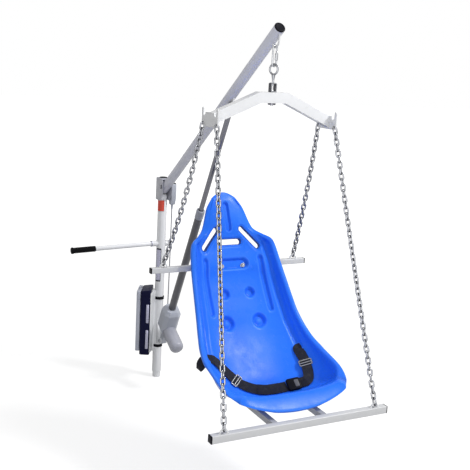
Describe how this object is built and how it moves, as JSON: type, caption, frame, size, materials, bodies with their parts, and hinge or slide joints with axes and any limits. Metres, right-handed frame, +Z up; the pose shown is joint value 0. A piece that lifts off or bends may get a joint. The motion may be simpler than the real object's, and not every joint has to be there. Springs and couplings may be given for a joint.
{
  "type": "pool patient lift",
  "caption": "Swivelling deck mast with an electric boom, spreader bow and chain-hung bucket seat for lowering a person into a pool.",
  "frame": {"origin": "centre of the mast foot's lower face, where it stands in its deck socket", "axes": "+Z up along the mast, -Y from the mast out to the seat, +X to the sitter's left hand side seen from the mast"},
  "size_m": [0.9419, 1.7102, 1.9951],
  "materials": {
    "white_powder_coat": "smooth white powder coat",
    "lilac_powder_coat": "satin lilac-grey powder coat",
    "seat_blue": "moulded blue polyethylene, semi-gloss",
    "black_plastic": "black moulded plastic",
    "navy_plastic": "navy-black moulded housing",
    "pale_plastic": "light grey moulded plastic",
    "grip_rubber": "black ribbed rubber grip",
    "charcoal_coat": "dark grey satin coat",
    "grey_housing": "mid grey cast housing",
    "zinc_plate": "bright zinc plate",
    "dark_chrome": "dark chrome rod and pins",
    "belt_webbing": "black woven webbing",
    "stop_red": "red moulded button",
    "cord_sheath": "grey flexible sheath"
  },
  "bodies": {
    "foot": {"foot_plug": "pale_plastic"},
    "mast": {"mast_tube": "white_powder_coat", "mast_head": "lilac_powder_coat", "head_cap": "black_plastic", "boom_pivot_bolt": "dark_chrome", "handle_socket": "white_powder_coat", "box_saddle": "pale_plastic", "strap_lower": "black_plastic", "strap_upper": "black_plastic", "control_box": "navy_plastic", "cable_plug": "black_plastic", "handset_body": "pale_plastic", "handset_hook": "black_plastic", "handset_cable": "cord_sheath", "actuator_bracket": "white_powder_coat", "actuator_pin": "dark_chrome"},
    "handle": {"handle_tube": "white_powder_coat", "handle_grip": "grip_rubber"},
    "battery": {"battery_pack": "pale_plastic"},
    "stop": {"stop_button": "stop_red"},
    "button_up": {"up_button": "black_plastic"},
    "button_down": {"down_button": "black_plastic"},
    "boom": {"boom_tube": "lilac_powder_coat", "boom_cap": "black_plastic", "rod_lug": "white_powder_coat", "rod_pin": "dark_chrome", "hanger_staple": "white_powder_coat"},
    "actuator": {"gear_housing": "grey_housing", "motor_housing": "grey_housing", "actuator_tube": "charcoal_coat", "tube_collar": "pale_plastic", "lead_screw": "dark_chrome"},
    "rod": {"actuator_rod": "dark_chrome", "rod_end": "dark_chrome"},
    "link": {"quick_link": "zinc_plate"},
    "eye": {"swivel_eye": "zinc_plate"},
    "carrier": {"swivel_jaw": "zinc_plate", "bow_bolt": "zinc_plate", "bow_nut": "zinc_plate", "spreader_bow": "white_powder_coat", "hook_plate_left": "white_powder_coat", "hook_plate_right": "white_powder_coat", "chain_rear_left": "zinc_plate", "chain_rear_right": "zinc_plate", "chain_front_left": "zinc_plate", "chain_front_right": "zinc_plate", "back_bar": "white_powder_coat", "front_bar": "white_powder_coat", "back_bar_cap_left": "black_plastic", "back_bar_cap_right": "black_plastic", "front_bar_cap_left": "black_plastic", "front_bar_cap_right": "black_plastic", "rail_left": "white_powder_coat", "rail_right": "white_powder_coat", "seat_shell": "seat_blue", "seat_bolt_left": "zinc_plate", "seat_bolt_right": "zinc_plate", "belt_left": "belt_webbing", "belt_right": "belt_webbing", "belt_buckle": "black_plastic"}
  },
  "joints": [
    {"name": "mast_swivel", "type": "hinge", "parent": "foot", "child": "mast", "pos_m": [0, 0, 0], "axis": [0, 0, 1], "continuous": true},
    {"name": "boom_lift", "type": "hinge", "parent": "mast", "child": "boom", "pos_m": [0, -0.045, 1.1308], "axis": [1, 0, 0], "range_deg": [0, 40]},
    {"name": "actuator_tilt", "type": "hinge", "parent": "mast", "child": "actuator", "pos_m": [0, -0.08, 0.245], "axis": [1, 0, 0], "range_deg": [0, 20.4]},
    {"name": "rod_pivot", "type": "hinge", "parent": "boom", "child": "rod", "pos_m": [0, -0.7932, 1.632], "axis": [1, 0, 0], "range_deg": [-19.9, 0]},
    {"name": "hanger_level", "type": "hinge", "parent": "boom", "child": "link", "pos_m": [0, -1.163, 1.924], "axis": [1, 0, 0], "range_deg": [-40, 0]},
    {"name": "seat_swing", "type": "hinge", "parent": "link", "child": "eye", "pos_m": [0, -1.163, 1.8185], "axis": [1, 0, 0], "range_deg": [-8, 8]},
    {"name": "seat_swivel", "type": "hinge", "parent": "eye", "child": "carrier", "pos_m": [0, -1.163, 1.742], "axis": [0, 0, 1], "continuous": true},
    {"name": "handle_slide", "type": "slide", "parent": "mast", "child": "handle", "axis": [-1, 0, 0], "range_m": [0, 0.1]},
    {"name": "battery_lift", "type": "slide", "parent": "mast", "child": "battery", "axis": [0, 0, 1], "range_m": [0, 0.06]},
    {"name": "stop_press", "type": "slide", "parent": "mast", "child": "stop", "axis": [-0.4617, -0.887, 0], "range_m": [0, 0.004], "stiffness_N_per_m": 800},
    {"name": "up_press", "type": "slide", "parent": "mast", "child": "button_up", "axis": [-1, 0, 0], "range_m": [0, 0.0015], "stiffness_N_per_m": 400},
    {"name": "down_press", "type": "slide", "parent": "mast", "child": "button_down", "axis": [-1, 0, 0], "range_m": [0, 0.0015], "stiffness_N_per_m": 400}
  ],
  "couplings": [
    {"joint": "actuator_tilt", "follows": "boom_lift", "ratio": 0.5068},
    {"joint": "rod_pivot", "follows": "boom_lift", "ratio": -0.4932},
    {"joint": "hanger_level", "follows": "boom_lift", "ratio": -1}
  ]
}
